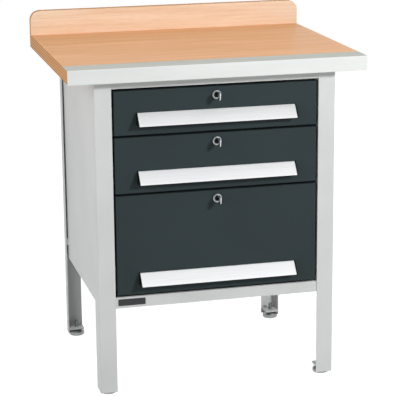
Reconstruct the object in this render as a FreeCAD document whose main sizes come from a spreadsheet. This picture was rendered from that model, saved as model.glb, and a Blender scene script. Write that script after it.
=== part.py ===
# Box workbench: a beech worktop on a folded steel frame that holds three locking drawers on runners.
# Millimetres, +Z up, X along the worktop.  The drawers open towards -Y.
# The origin is on the floor, under the middle of the worktop.
import FreeCAD, Part
import os
import Sketcher

SIZES = {
    # Worktop
    "top_width": 750,
    "top_depth": 600,
    "work_height": 840,
    "slab_thick": 35,
    "upstand_rise": 65,
    "upstand_thick": 22,
    "upstand_round": 26,
    "strip_sheet": 1.5,
    "strip_lip": 65,
    "strip_bend": 2,
    # Legs and how far the worktop stands out over them
    "side_overhang": 69,
    "front_overhang": 40,
    "rear_overhang": 50,
    "leg_face": 43,
    "front_leg_side": 50,
    "rear_leg_side": 30,
    "leg_sheet": 2,
    "leg_bend": 3,
    "leg_clear": 6,
    # Carcass sheets
    "panel_inset": 6,
    "panel_sheet": 1,
    "panel_flange": 14,
    "ledge_gap": 4.5,
    "tab_height": 18,
    "tab_rise": 36,
    "tab_margin": 1,
    "carrier_sheet": 1.5,
    "flange_gap": 1,
    "rail_sheet": 1.5,
    "top_rail": 23,
    "low_rail": 28,
    "rail_fold": 12,
    "rail_ledge": 30,
    "catch_gap": 3,
    "catch_lip": 15,
    "traverse_drop": 5,
    "traverse_depth": 25,
    "floor_edge": 15,
    "plate_length": 69,
    "plate_height": 17,
    "plate_thick": 1,
    "plate_margin": 7,
    "plate_drop": 4.5,
    # Drawers
    "drawer_gap": 6,
    "side_gap": 5.5,
    "upper_front": 110,
    "middle_front": 140,
    "lower_front": 254,
    "front_sheet": 1,
    "front_return": 18,
    "front_bend": 1.2,
    "tray_sheet": 1,
    "tray_rise": 16,
    "tray_clear": 2,
    "tray_lock_gap": 6,
    "tray_rear_room": 33,
    # Telescopic runners
    "runner_rear_room": 36,
    "runner_gap": 4,
    "runner_lift": 4.5,
    "runner_height": 45,
    "runner_thick": 12.7,
    "runner_sheet": 1.2,
    "runner_lip": 9,
    "runner_play": 0.5,
    "ball_room": 1.8,
    "inner_height": 26,
    # Handles
    "handle_side_margin": 57.5,
    "handle_raise": 25,
    "handle_rise": 30,
    "handle_depth": 27,
    "handle_wall": 2.2,
    "handle_crest": 3,
    "handle_tip": 1.5,
    "handle_flange": 24,
    "cap_thick": 2.5,
    "cap_margin": 0.7,
    # Locks
    "lock_drop": 20,
    "collar_radius": 12,
    "collar_height": 5,
    "barrel_radius": 9,
    "barrel_past": 1.5,
    "plug_radius": 6,
    "plug_recess": 0.5,
    "plug_fit": 0.05,
    "tail_radius": 4,
    "tail_past": 3.5,
    "key_width": 2.2,
    "key_height": 9,
    "key_depth": 5,
    "nut_radius": 14,
    "nut_thick": 4,
    "cam_gap": 2,
    "cam_sheet": 2.5,
    "cam_reach": 14,
    "cam_width": 12,
    # Screws
    "screw_fit": 0.1,
    "handle_screw": 1.75,
    "handle_head": 3.5,
    "handle_head_height": 2.5,
    "handle_screw_margin": 50,
    "ledge_screw": 2,
    "ledge_head": 4.5,
    "ledge_head_height": 2.5,
    "ledge_screw_length": 24,
    "ledge_screw_inset": 22,
    "ledge_screw_margin": 60,
    "upstand_screw": 2.5,
    "upstand_head": 4.5,
    "upstand_head_height": 3,
    "upstand_screw_length": 57,
    "upstand_screw_margin": 95,
    "upstand_screw_inner": 95,
    "panel_screw": 2,
    "panel_head": 4,
    "panel_head_height": 2.5,
    "panel_screw_grip": 4,
    "panel_screw_margin": 40,
    # Levelling feet
    "foot_clear": 1,
    "foot_radius": 20.5,
    "foot_height": 14,
    "foot_rim": 9,
    "foot_chamfer": 2,
    "foot_shoulder": 16,
    "spindle_radius": 5,
    "spindle_top": 40,
    "spindle_fit": 0.05,
    "nut_plate_level": 18,
    "nut_plate_thick": 5,
    "nut_plate_reach": 41,
}

doc = FreeCAD.newDocument("BoxWorkbench")
sheet = doc.addObject("Spreadsheet::Sheet", "Dim")
for row, (alias, value) in enumerate(SIZES.items(), start=1):
    sheet.set(f"A{row}", alias.replace("_", " "))
    sheet.set(f"B{row}", str(value))
    sheet.setAlias(f"B{row}", alias)
doc.recompute()

# Shared planes and half widths, as expressions over the sheet
UNDER = "(Dim.work_height - Dim.slab_thick)"
FRONT = "(-Dim.top_depth / 2 + Dim.front_overhang)"
BACK = "(Dim.top_depth / 2 - Dim.rear_overhang)"
SIDE = "(Dim.top_width / 2 - Dim.side_overhang)"
OPENING = f"({SIDE} - Dim.leg_face)"
WEB_BACK = f"({FRONT} + Dim.leg_sheet)"
REAR_WEB = f"({BACK} - Dim.leg_sheet)"
CATCH = f"({FRONT} + Dim.front_return + Dim.catch_gap)"
INNER_FACE = f"({FRONT} + Dim.front_sheet)"
RUNNER_FRONT = f"({FRONT} + Dim.front_return + Dim.runner_gap)"
RUNNER_LENGTH = f"({REAR_WEB} - Dim.runner_rear_room - {RUNNER_FRONT})"
SLAB_REAR = "(Dim.top_depth / 2 - Dim.upstand_thick)"
FRONT_HALF = f"({OPENING} - Dim.side_gap)"
TRAY_HALF = f"({OPENING} - Dim.runner_thick)"
HANDLE_HALF = f"({FRONT_HALF} - Dim.handle_side_margin)"
FLANGE_EDGE = f"({SIDE} - Dim.panel_inset - Dim.panel_flange - Dim.flange_gap)"
LEDGE_EDGE = f"({OPENING} + Dim.carrier_sheet + Dim.ledge_gap)"
FOOT_INSET = "(Dim.leg_sheet + Dim.foot_clear + Dim.foot_radius)"

# Lower and upper edge of each drawer front, stacked down from the top rail
DRAWERS = {}
edge_above = f"({UNDER} - Dim.top_rail)"
for drawer_name in ("upper", "middle", "lower"):
    front_top = f"({edge_above} - Dim.drawer_gap)"
    edge_above = f"({front_top} - Dim.{drawer_name}_front)"
    DRAWERS[drawer_name] = (edge_above, front_top)
CARCASS_LOW = f"({edge_above} - Dim.drawer_gap - Dim.low_rail)"

PLANES = {"x": "YZ_Plane", "y": "XZ_Plane", "z": "XY_Plane"}
TURNS = {
    "y": FreeCAD.Rotation(FreeCAD.Vector(1, 0, 0), -90),
    "z": FreeCAD.Rotation(),
}
PANEL_SCREWS_A_SIDE = 4
NEAR = 1e-6
pieces = []


def number(text):
    """Present value of an expression over the sheet."""
    return float(sheet.evalExpression(text))


def both(text):
    """The same distance to the left and to the right of the middle."""
    return (f"(-{text})", text)


def piece(item, label):
    """Name an object as one piece of the bench."""
    item.Label = label
    pieces.append(item)
    return item


def place(item, at):
    """Bind an object's place to three expressions."""
    for axis, text in zip("xyz", at):
        item.setExpression(f"Placement.Base.{axis}", text)


def block(at, size):
    """Box from its low corner and its three sizes."""
    item = doc.addObject("Part::Box", "block")
    for name, text in zip(("Length", "Width", "Height"), size):
        item.setExpression(name, text)
    place(item, at)
    return item


def rod(axis, at, radius, length):
    """Cylinder that runs from a place along +Y or +Z."""
    item = doc.addObject("Part::Cylinder", "rod")
    item.Placement = FreeCAD.Placement(FreeCAD.Vector(), TURNS[axis])
    item.setExpression("Radius", radius)
    item.setExpression("Height", length)
    place(item, at)
    return item


def join(*items):
    """One solid from overlapping or touching ones."""
    item = doc.addObject("Part::MultiFuse", "joined")
    item.Shapes = items
    item.Refine = True
    return item


def group(*items):
    """Separate solids kept together as one object."""
    item = doc.addObject("Part::Compound", "set")
    item.Links = items
    return item


def cut(base, *tools):
    """The base with separate tools taken out of it."""
    item = doc.addObject("Part::Cut", "cut")
    item.Base = base
    item.Tool = group(*tools) if len(tools) > 1 else tools[0]
    return item


def mirror(source):
    """Copy on the other side of the middle plane across X."""
    item = doc.addObject("Part::Mirroring", "mirrored")
    item.Source = source
    item.Normal = (1, 0, 0)
    return item


def outline(body, plane, points):
    """Closed sketch of straight edges, each corner bound to two expressions."""
    sketch = body.newObject("Sketcher::SketchObject", "outline")
    support = next(item for item in body.Origin.OriginFeatures if item.Role == plane)
    sketch.AttachmentSupport = (support, [""])
    sketch.MapMode = "FlatFace"
    corners = [FreeCAD.Vector(number(across), number(along), 0) for across, along in points]
    following = corners[1:] + corners[:1]
    for start, end in zip(corners, following):
        sketch.addGeometry(Part.LineSegment(start, end), False)
    for line in range(len(points)):
        next_line = (line + 1) % len(points)
        sketch.addConstraint(Sketcher.Constraint("Coincident", line, 2, next_line, 1))
    for line, (corner, texts) in enumerate(zip(corners, points)):
        for kind, at, text in zip(("DistanceX", "DistanceY"), corner, texts):
            name = f"{kind}{line}"
            index = sketch.addConstraint(Sketcher.Constraint(kind, -1, 1, line, 1, at))
            sketch.renameConstraint(index, name)
            sketch.setExpression(f"Constraints.{name}", text)
    return sketch


def extrude(axis, points, start, length):
    """Body padded from an outline, from its start along the positive axis."""
    body = doc.addObject("PartDesign::Body", "profile")
    pad = body.newObject("PartDesign::Pad", "pad")
    pad.Profile = outline(body, PLANES[axis], points)
    pad.Reversed = axis == "y"
    pad.setExpression("Length", length)
    body.Tip = pad
    body.setExpression(f"Placement.Base.{axis}", start)
    doc.recompute()
    return body


def turn(points, at):
    """Body of revolution about +Z from a half outline of radius and height, set at a place."""
    body = doc.addObject("PartDesign::Body", "turned")
    sketch = outline(body, PLANES["y"], points)
    revolution = body.newObject("PartDesign::Revolution", "revolution")
    revolution.Profile = sketch
    revolution.ReferenceAxis = (sketch, ["V_Axis"])
    body.Tip = revolution
    place(body, at)
    return body


def round_edges(body, radius, *spots):
    """Fillet the edges that lie wholly at the given coordinates of the body's own frame."""
    base = body.Tip
    targets = [{axis: number(text) for axis, text in spot.items()} for spot in spots]

    def lies_at(edge, target):
        return all(
            abs(getattr(vertex, axis.upper()) - at) < NEAR
            for vertex in edge.Vertexes
            for axis, at in target.items()
        )

    names = [
        f"Edge{index}"
        for index, edge in enumerate(base.Shape.Edges, start=1)
        if any(lies_at(edge, target) for target in targets)
    ]
    fillet = body.newObject("PartDesign::Fillet", "bend")
    fillet.Base = (base, names)
    fillet.setExpression("Radius", radius)
    body.Tip = fillet
    doc.recompute()


def screws_along_y(places, seat, head, head_height, shank, length):
    """Screws with their heads behind the seat plane and their shanks towards the front."""
    made = []
    for across, up in places:
        shaft = rod("y", (across, f"({seat} - {length})", up), shank, length)
        cap = rod("y", (across, seat, up), head, head_height)
        made.append(join(shaft, cap))
    return group(*made)


def holes_along_y(places, start, shank, length):
    """Clearance holes for screws along Y."""
    radius = f"({shank} + Dim.screw_fit)"
    return [rod("y", (across, start, up), radius, length) for across, up in places]


def ledge_screw_places():
    """Places of the screws that hold the worktop, on the left panel's upper ledge."""
    across = f"(-{SIDE} + Dim.ledge_screw_inset)"
    along = (
        f"({FRONT} + Dim.ledge_screw_margin)",
        f"(({FRONT} + {BACK}) / 2)",
        f"({BACK} - Dim.ledge_screw_margin)",
    )
    return [(across, place_along) for place_along in along]


def upstand_screw_places():
    """Places of the screws that hold the upstand against the slab's rear edge."""
    spreads = both("(Dim.top_width / 2 - Dim.upstand_screw_margin)") + both("Dim.upstand_screw_inner")
    return [(across, f"({UNDER} + Dim.slab_thick / 2)") for across in spreads]


def panel_screw_places():
    """Places of the rear panel's screws on the left leg."""
    across = f"(-({OPENING} + {FLANGE_EDGE}) / 2)"
    first = f"({CARCASS_LOW} + Dim.panel_screw_margin)"
    last = f"({UNDER} - Dim.panel_screw_margin)"
    steps = range(PANEL_SCREWS_A_SIDE)
    return [(across, f"({first} + ({last} - {first}) * {step} / {steps[-1]})") for step in steps]


def mirrored_places(places):
    """The places and their copies on the other side of the middle."""
    return places + [(f"(-{across})", up) for across, up in places]


def worktop():
    """Beech slab, its rear upstand and the folded strip round its front edge."""
    skin = "Dim.strip_sheet"
    half = "(Dim.top_width / 2)"
    slab_front = f"(-Dim.top_depth / 2 + {skin})"
    slab_depth = f"({SLAB_REAR} - {slab_front})"
    slab = block((f"-{half}", slab_front, UNDER), ("Dim.top_width", slab_depth, "Dim.slab_thick"))
    rebate = block(
        (f"-{half}", slab_front, f"Dim.work_height - {skin}"),
        ("Dim.top_width", f"Dim.strip_lip - {skin}", skin),
    )
    bite = "(Dim.ledge_screw_length - Dim.panel_sheet + Dim.screw_fit)"
    pilots = [
        rod("z", (x, y, UNDER), "Dim.ledge_screw + Dim.screw_fit", bite)
        for left_x, y in ledge_screw_places()
        for x in (left_x, f"(-{left_x})")
    ]
    depth = "(Dim.upstand_screw_length + Dim.upstand_head_height + Dim.screw_fit - Dim.upstand_thick)"
    pilots += holes_along_y(upstand_screw_places(), f"({SLAB_REAR} - {depth})", "Dim.upstand_screw", depth)
    piece(cut(slab, rebate, *pilots), "worktop_slab")

    board_top = "(Dim.work_height + Dim.upstand_rise)"
    corners = [(f"-{half}", UNDER), (half, UNDER), (half, board_top), (f"-{half}", board_top)]
    board = extrude("y", corners, SLAB_REAR, "Dim.upstand_thick")
    round_edges(board, "Dim.upstand_round", {"x": f"-{half}", "z": board_top}, {"x": half, "z": board_top})
    seat = "(Dim.top_depth / 2 - Dim.upstand_head_height)"
    through = holes_along_y(upstand_screw_places(), SLAB_REAR, "Dim.upstand_screw", "Dim.upstand_thick")
    sinks = holes_along_y(upstand_screw_places(), seat, "Dim.upstand_head", "Dim.upstand_head_height")
    bores = [join(bore, sink) for bore, sink in zip(through, sinks)]
    piece(cut(board, *bores), "rear_upstand")

    outer = "(-Dim.top_depth / 2)"
    lip_end = f"({outer} + Dim.strip_lip)"
    lip_low = f"(Dim.work_height - {skin})"
    section = [
        (outer, UNDER),
        (outer, "Dim.work_height"),
        (lip_end, "Dim.work_height"),
        (lip_end, lip_low),
        (slab_front, lip_low),
        (slab_front, UNDER),
    ]
    strip = extrude("x", section, f"-{half}", "Dim.top_width")
    round_edges(strip, "Dim.strip_bend", {"y": outer, "z": "Dim.work_height"})
    piece(strip, "front_edge_strip")

    seated = screws_along_y(
        upstand_screw_places(), seat, "Dim.upstand_head", "Dim.upstand_head_height",
        "Dim.upstand_screw", "Dim.upstand_screw_length",
    )
    piece(seated, "upstand_screws")


def leg(face, inward, depth):
    """Left leg of angle section: one web looks forward or back, the flange looks out."""
    outer = f"(-{SIDE})"
    flange_in = f"({outer} + Dim.leg_sheet)"
    web_in = f"({face} {inward} Dim.leg_sheet)"
    section = [
        (outer, face),
        (f"-{OPENING}", face),
        (f"-{OPENING}", web_in),
        (flange_in, web_in),
        (flange_in, f"({face} {inward} {depth})"),
        (outer, f"({face} {inward} {depth})"),
    ]
    body = extrude("z", section, "Dim.leg_clear", f"{UNDER} - Dim.leg_clear")
    round_edges(body, "Dim.leg_bend", {"x": outer, "y": face})
    round_edges(body, "Dim.leg_bend - Dim.leg_sheet", {"x": flange_in, "y": web_in})
    return body


def legs():
    """Four legs; the rear webs take the rear panel's screws."""
    front = leg(FRONT, "+", "Dim.front_leg_side")
    piece(front, "front_left_leg")
    piece(mirror(front), "front_right_leg")
    start = f"({REAR_WEB} - Dim.leg_sheet)"
    through = holes_along_y(panel_screw_places(), start, "Dim.panel_screw", "3 * Dim.leg_sheet")
    rear = cut(leg(BACK, "-", "Dim.rear_leg_side"), *through)
    piece(rear, "rear_left_leg")
    piece(mirror(rear), "rear_right_leg")


def side_panels():
    """Side sheets with folded edges, a ledge for the worktop's screws and a tab to the rear leg."""
    skin = "Dim.panel_sheet"
    outer = f"(-{SIDE} + Dim.panel_inset)"
    deep = f"({REAR_WEB} - {WEB_BACK})"
    tall = f"({UNDER} - {CARCASS_LOW})"
    ledge_low = f"({UNDER} - {skin})"
    ledge_wide = f"({SIDE} - Dim.panel_inset - {LEDGE_EDGE})"
    panel = join(
        block((outer, WEB_BACK, CARCASS_LOW), (skin, deep, tall)),
        block((outer, WEB_BACK, CARCASS_LOW), ("Dim.panel_flange", skin, tall)),
        block((outer, f"({REAR_WEB} - {skin})", CARCASS_LOW), ("Dim.panel_flange", skin, tall)),
        block((outer, WEB_BACK, CARCASS_LOW), (ledge_wide, deep, skin)),
        block((outer, WEB_BACK, ledge_low), (ledge_wide, deep, skin)),
        block(
            (
                f"(-{SIDE} + Dim.leg_sheet)",
                f"({BACK} - Dim.rear_leg_side + Dim.tab_margin)",
                f"({CARCASS_LOW} + Dim.tab_rise)",
            ),
            (f"Dim.panel_inset - Dim.leg_sheet + {skin}", skin, "Dim.tab_height"),
        ),
    )
    holes = [
        rod("z", (x, y, f"({ledge_low} - {skin})"), "Dim.ledge_screw + Dim.screw_fit", f"3 * {skin}")
        for x, y in ledge_screw_places()
    ]
    left = cut(panel, *holes)
    piece(left, "left_side_panel")
    piece(mirror(left), "right_side_panel")

    made = []
    for left_x, y in ledge_screw_places():
        for x in (left_x, f"(-{left_x})"):
            shaft = rod("z", (x, y, ledge_low), "Dim.ledge_screw", "Dim.ledge_screw_length")
            head_low = f"({ledge_low} - Dim.ledge_head_height)"
            made.append(join(shaft, rod("z", (x, y, head_low), "Dim.ledge_head", "Dim.ledge_head_height")))
    piece(group(*made), "worktop_screws")


def carriers():
    """Inner side walls that carry the runners, folded outwards against the legs."""
    skin = "Dim.carrier_sheet"
    near = f"(-{OPENING})"
    wall = f"({near} - {skin})"
    far = f"(-{FLANGE_EDGE})"
    section = [
        (near, WEB_BACK),
        (far, WEB_BACK),
        (far, f"({WEB_BACK} + {skin})"),
        (wall, f"({WEB_BACK} + {skin})"),
        (wall, f"({REAR_WEB} - {skin})"),
        (far, f"({REAR_WEB} - {skin})"),
        (far, REAR_WEB),
        (near, REAR_WEB),
    ]
    low = f"({CARCASS_LOW} + Dim.panel_sheet)"
    body = extrude("z", section, low, f"{UNDER} - Dim.panel_sheet - {low}")
    start = f"({REAR_WEB} - 2 * {skin})"
    holes = holes_along_y(panel_screw_places(), start, "Dim.panel_screw", f"3 * {skin}")
    left = cut(body, *holes)
    piece(left, "left_runner_carrier")
    piece(mirror(left), "right_runner_carrier")


def cross_member(section):
    """Folded member that spans the opening between the two carriers."""
    return extrude("x", section, f"-{OPENING}", f"2 * {OPENING}")


def rails():
    """Front rails above and below the drawers, and the blank plate on the lower one."""
    skin = "Dim.rail_sheet"
    inside = f"({WEB_BACK} + {skin})"
    fold = f"({WEB_BACK} + Dim.rail_fold)"
    top_low = f"({UNDER} - Dim.top_rail)"
    lip_back = f"({CATCH} + {skin})"
    top_section = [
        (WEB_BACK, UNDER),
        (WEB_BACK, top_low),
        (lip_back, top_low),
        (lip_back, f"({top_low} + Dim.catch_lip)"),
        (CATCH, f"({top_low} + Dim.catch_lip)"),
        (CATCH, f"({top_low} + {skin})"),
        (inside, f"({top_low} + {skin})"),
        (inside, f"({UNDER} - {skin})"),
        (fold, f"({UNDER} - {skin})"),
        (fold, UNDER),
    ]
    piece(cross_member(top_section), "top_front_rail")

    low_top = f"({CARCASS_LOW} + Dim.low_rail)"
    ledge = f"({WEB_BACK} + Dim.rail_ledge)"
    low_section = [
        (WEB_BACK, CARCASS_LOW),
        (ledge, CARCASS_LOW),
        (ledge, f"({CARCASS_LOW} + {skin})"),
        (inside, f"({CARCASS_LOW} + {skin})"),
        (inside, f"({low_top} - {skin})"),
        (fold, f"({low_top} - {skin})"),
        (fold, low_top),
        (WEB_BACK, low_top),
    ]
    piece(cross_member(low_section), "bottom_front_rail")

    plate_low = f"({low_top} - Dim.plate_drop - Dim.plate_height)"
    plate = block(
        (f"(-{OPENING} + Dim.plate_margin)", f"({WEB_BACK} - Dim.plate_thick)", plate_low),
        ("Dim.plate_length", "Dim.plate_thick", "Dim.plate_height"),
    )
    piece(plate, "blank_name_plate")


def traverse(front_top_below):
    """Angle behind the gap between two drawers; the lower drawer's lock catches its front wall."""
    skin = "Dim.rail_sheet"
    low = f"({front_top_below} - Dim.traverse_drop)"
    high = f"({front_top_below} + Dim.drawer_gap + Dim.tray_rise - Dim.tray_clear)"
    rear = f"({CATCH} + Dim.traverse_depth)"
    section = [
        (CATCH, low),
        (CATCH, high),
        (rear, high),
        (rear, f"({high} - {skin})"),
        (f"({CATCH} + {skin})", f"({high} - {skin})"),
        (f"({CATCH} + {skin})", low),
    ]
    return cross_member(section)


def closing_sheets():
    """Rear panel over the rear legs, its screws, and the carcass floor."""
    skin = "Dim.panel_sheet"
    half = FLANGE_EDGE
    low = f"({CARCASS_LOW} + Dim.rail_sheet)"
    high = f"({UNDER} - {skin})"
    fold_at = f"({BACK} - Dim.rail_fold)"
    fold_half = f"({OPENING} - {skin})"
    fold_size = (f"2 * {fold_half}", "Dim.rail_fold", skin)
    sheet_metal = join(
        block((f"-{half}", BACK, low), (f"2 * {half}", skin, f"{high} - {low}")),
        block((f"-{fold_half}", fold_at, low), fold_size),
        block((f"-{fold_half}", fold_at, f"({high} - {skin})"), fold_size),
    )
    places = mirrored_places(panel_screw_places())
    holes = holes_along_y(places, f"({BACK} - {skin})", "Dim.panel_screw", f"3 * {skin}")
    piece(cut(sheet_metal, *holes), "rear_panel")

    grip = f"({skin} + Dim.leg_sheet + Dim.carrier_sheet + Dim.panel_screw_grip)"
    seated = screws_along_y(
        places, f"({BACK} + {skin})", "Dim.panel_head", "Dim.panel_head_height", "Dim.panel_screw", grip
    )
    piece(seated, "rear_panel_screws")

    start = f"({WEB_BACK} + Dim.rail_sheet)"
    deep = f"({fold_at} - {start})"
    edge_size = (skin, deep, "Dim.floor_edge")
    floor = join(
        block((f"-{OPENING}", start, low), (f"2 * {OPENING}", deep, skin)),
        block((f"-{OPENING}", start, low), edge_size),
        block((f"({OPENING} - {skin})", start, low), edge_size),
    )
    piece(floor, "bottom_panel")


def channel(base, web, tip, half, middle_z):
    """Left runner member of channel section, from its web's outer face to its lips' tips."""
    skin = "Dim.runner_sheet"
    section = [
        (base, f"({middle_z} - {half})"),
        (tip, f"({middle_z} - {half})"),
        (tip, f"({middle_z} - {half} + {skin})"),
        (web, f"({middle_z} - {half} + {skin})"),
        (web, f"({middle_z} + {half} - {skin})"),
        (tip, f"({middle_z} + {half} - {skin})"),
        (tip, f"({middle_z} + {half})"),
        (base, f"({middle_z} + {half})"),
    ]
    return extrude("y", section, RUNNER_FRONT, RUNNER_LENGTH)


def runners(middle_z):
    """Outer, middle and inner members of one pair of runners, each left and right."""
    skin = "Dim.runner_sheet"
    wall = f"(-{OPENING})"
    lip = f"({wall} + Dim.runner_lip)"
    outer_web = f"({wall} + {skin})"
    mid_base = f"({outer_web} + Dim.runner_play)"
    mid_web = f"({mid_base} + {skin})"
    inner_tip = f"({mid_web} + Dim.runner_play)"
    inner_base = f"(-{TRAY_HALF})"
    inner_web = f"({inner_base} - {skin})"
    outer_half = "(Dim.runner_height / 2)"
    mid_half = f"({outer_half} - {skin} - Dim.ball_room)"
    members = (
        channel(wall, outer_web, lip, outer_half, middle_z),
        channel(mid_base, mid_web, lip, mid_half, middle_z),
        channel(inner_base, inner_web, inner_tip, "(Dim.inner_height / 2)", middle_z),
    )
    return [(left, mirror(left)) for left in members]


def handle(name, low):
    """Sloped strip handle that is open from below, its end caps and its screws."""
    foot = f"({low} + Dim.handle_raise)"
    crest = f"({foot} + Dim.handle_rise)"
    flange_low = f"({crest} - Dim.handle_flange)"
    tip_out = f"({FRONT} - Dim.handle_depth)"
    wall_out = f"({FRONT} - Dim.handle_wall)"
    slope = "((Dim.handle_rise - Dim.handle_tip) / (Dim.handle_depth - Dim.handle_crest))"
    inside_top = f"({foot} + {slope} * (Dim.handle_depth - 2 * Dim.handle_wall))"
    section = [
        (FRONT, flange_low),
        (FRONT, crest),
        (f"({FRONT} - Dim.handle_crest)", crest),
        (tip_out, f"({foot} + Dim.handle_tip)"),
        (tip_out, foot),
        (f"({tip_out} + Dim.handle_wall)", foot),
        (wall_out, inside_top),
        (wall_out, flange_low),
    ]
    strip = extrude("x", section, f"-{HANDLE_HALF}", f"2 * {HANDLE_HALF}")
    screw_z = f"({crest} - Dim.handle_flange / 2)"
    places = [(across, screw_z) for across in both(f"({HANDLE_HALF} - Dim.handle_screw_margin)")]
    ahead = f"({FRONT} - 2 * Dim.handle_wall)"
    through = holes_along_y(places, ahead, "Dim.handle_screw", "2 * Dim.handle_wall")
    piece(cut(strip, *through), f"{name}_handle")

    margin = "Dim.cap_margin"
    cap_section = [
        (FRONT, f"({foot} - {margin})"),
        (FRONT, f"({crest} + {margin})"),
        (f"({FRONT} - Dim.handle_crest - {margin})", f"({crest} + {margin})"),
        (f"({tip_out} - {margin})", f"({foot} + Dim.handle_tip + {margin})"),
        (f"({tip_out} - {margin})", f"({foot} - {margin})"),
    ]
    cap = extrude("x", cap_section, f"-{HANDLE_HALF} - Dim.cap_thick", "Dim.cap_thick")
    piece(group(cap, mirror(cap)), f"{name}_handle_caps")

    grip = "(Dim.handle_wall + Dim.front_sheet + Dim.tray_sheet)"
    seat = f"({INNER_FACE} + Dim.tray_sheet)"
    seated = screws_along_y(
        places, seat, "Dim.handle_head", "Dim.handle_head_height", "Dim.handle_screw", grip
    )
    piece(seated, f"{name}_handle_screws")
    return places


def lock(name, axis_z):
    """Cylinder lock: housing through the front, ring nut behind it, turning plug and cam."""
    collar_front = f"({FRONT} - Dim.collar_height)"
    barrel_end = f"({CATCH} + Dim.rail_sheet + Dim.barrel_past)"
    body_length = f"({barrel_end} - {collar_front})"
    shell = join(
        rod("y", ("0", collar_front, axis_z), "Dim.collar_radius", "Dim.collar_height"),
        rod("y", ("0", collar_front, axis_z), "Dim.barrel_radius", body_length),
    )
    bore = rod("y", ("0", collar_front, axis_z), "Dim.plug_radius + Dim.plug_fit", body_length)
    piece(cut(shell, bore), f"{name}_lock_housing")

    nut = doc.addObject("Part::Prism", "nut")
    nut.Placement = FreeCAD.Placement(FreeCAD.Vector(), TURNS["y"])
    nut.setExpression("Circumradius", "Dim.nut_radius")
    nut.setExpression("Height", "Dim.nut_thick")
    place(nut, ("0", INNER_FACE, axis_z))
    thread = rod("y", ("0", INNER_FACE, axis_z), "Dim.barrel_radius + Dim.screw_fit", "Dim.nut_thick")
    piece(cut(nut, thread), f"{name}_lock_nut")

    face = f"({collar_front} + Dim.plug_recess)"
    cam_front = f"({barrel_end} + Dim.cam_gap)"
    tail_end = f"({cam_front} + Dim.cam_sheet + Dim.tail_past)"
    plug = join(
        rod("y", ("0", face, axis_z), "Dim.plug_radius", f"{barrel_end} - {face}"),
        rod("y", ("0", face, axis_z), "Dim.tail_radius", f"{tail_end} - {face}"),
    )
    keyhole = block(
        ("-Dim.key_width / 2", face, f"({axis_z} - Dim.key_height / 2)"),
        ("Dim.key_width", "Dim.key_depth", "Dim.key_height"),
    )
    piece(cut(plug, keyhole), f"{name}_lock_plug")

    tongue = join(
        block(
            ("0", cam_front, f"({axis_z} - Dim.cam_width / 2)"),
            ("Dim.lock_drop + Dim.cam_reach", "Dim.cam_sheet", "Dim.cam_width"),
        ),
        rod("y", ("0", cam_front, axis_z), "Dim.cam_width / 2", "Dim.cam_sheet"),
    )
    eye = rod("y", ("0", cam_front, axis_z), "Dim.tail_radius + Dim.plug_fit", "Dim.cam_sheet")
    piece(cut(tongue, eye), f"{name}_lock_cam")


def drawer(name, low, top):
    """Front pan, tray, handle, lock and the moving members of the runners of one drawer."""
    skin = "Dim.front_sheet"
    lock_z = f"({top} - Dim.lock_drop)"
    screw_places = handle(f"{name}_drawer", low)
    lock(f"{name}_drawer", lock_z)

    corners = [(f"-{FRONT_HALF}", low), (FRONT_HALF, low), (FRONT_HALF, top), (f"-{FRONT_HALF}", top)]
    pan = extrude("y", corners, FRONT, "Dim.front_return")
    folds = [{"x": across, "z": up} for across, up in corners]
    round_edges(pan, "Dim.front_bend", {"y": "0"}, *folds)
    hollow_half = f"({FRONT_HALF} - {skin})"
    hollow = block(
        (f"-{hollow_half}", INNER_FACE, f"({low} + {skin})"),
        (f"2 * {hollow_half}", "Dim.front_return", f"{top} - {low} - 2 * {skin}"),
    )
    ahead = f"({FRONT} - {skin})"
    lock_hole = rod("y", ("0", ahead, lock_z), "Dim.barrel_radius + Dim.screw_fit", f"2 * {skin}")
    screw_holes = holes_along_y(screw_places, ahead, "Dim.handle_screw", f"2 * {skin}")
    piece(cut(cut(pan, hollow), lock_hole, *screw_holes), f"{name}_drawer_front")

    wall = "Dim.tray_sheet"
    tray_low = f"({low} + Dim.tray_rise)"
    tray_top = f"({lock_z} - Dim.nut_radius - Dim.tray_lock_gap)"
    tall = f"({tray_top} - {tray_low})"
    deep = f"({REAR_WEB} - Dim.tray_rear_room - {INNER_FACE})"
    box = block((f"-{TRAY_HALF}", INNER_FACE, tray_low), (f"2 * {TRAY_HALF}", deep, tall))
    inside_half = f"({TRAY_HALF} - {wall})"
    room = block(
        (f"-{inside_half}", f"({INNER_FACE} + {wall})", f"({tray_low} + {wall})"),
        (f"2 * {inside_half}", f"{deep} - 2 * {wall}", tall),
    )
    wall_holes = holes_along_y(screw_places, f"({INNER_FACE} - {wall})", "Dim.handle_screw", f"3 * {wall}")
    piece(cut(cut(box, room), *wall_holes), f"{name}_drawer_tray")

    outer, middle, inner = runners(f"({tray_low} + Dim.runner_lift + Dim.runner_height / 2)")
    piece(group(*middle), f"{name}_drawer_mid_runners")
    piece(group(*inner), f"{name}_drawer_inner_runners")
    return outer


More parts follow.
